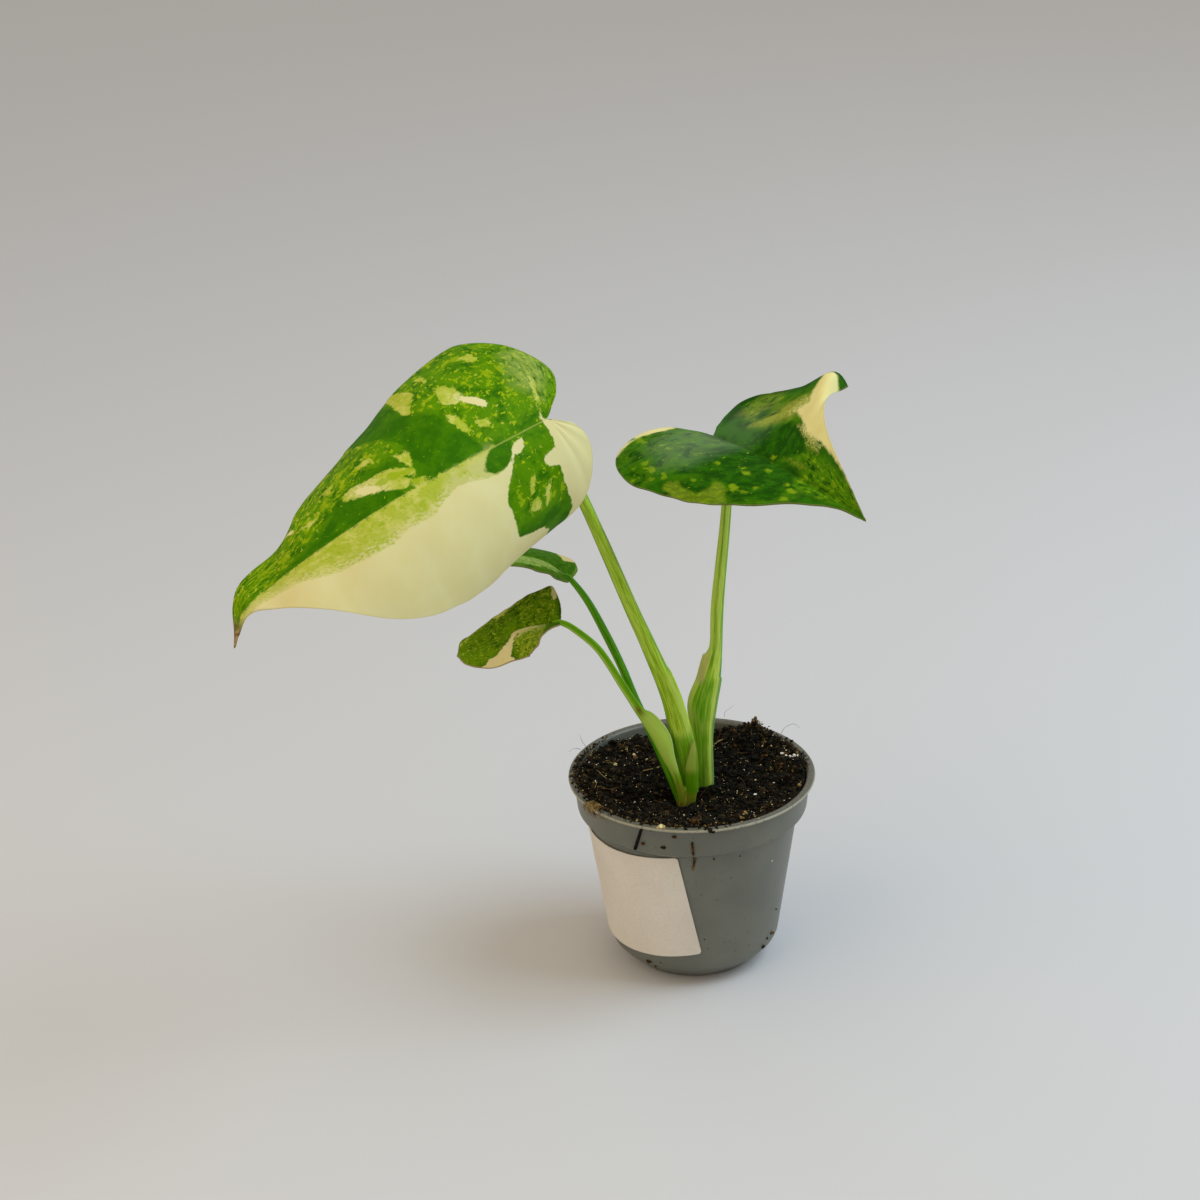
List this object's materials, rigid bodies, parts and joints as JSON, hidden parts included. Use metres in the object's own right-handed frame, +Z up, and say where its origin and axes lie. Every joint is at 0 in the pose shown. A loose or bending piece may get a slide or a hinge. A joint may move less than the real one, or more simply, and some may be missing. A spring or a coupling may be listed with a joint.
{
  "type": "potted variegated monstera",
  "caption": "Young variegated monstera with heart-shaped leaves on long stalks, growing from dark soil in a round tapered nursery pot with a plain label.",
  "frame": {"origin": "middle of the pot's underside, on the surface that it stands on", "axes": "+Z up; +Y away from the picture's camera; +X to its right"},
  "size_m": [0.2061, 0.1472, 0.2443],
  "materials": {
    "pot_plastic": "satin",
    "soil": "matte",
    "label_paper": "matte",
    "stem_green": "satin",
    "petiole_green": "satin",
    "bract_pale": "satin",
    "leaf_blade": "satin"
  },
  "bodies": {
    "root": {"pot": "pot_plastic", "label": "label_paper", "soil": "soil", "stem": "stem_green", "bract": "bract_pale", "petiole_large": "petiole_green", "petiole_right": "petiole_green", "petiole_upper": "petiole_green", "petiole_lower": "petiole_green", "leaf_large": "leaf_blade", "leaf_right": "leaf_blade", "leaf_upper": "leaf_blade", "leaf_lower": "leaf_blade"}
  },
  "joints": []
}
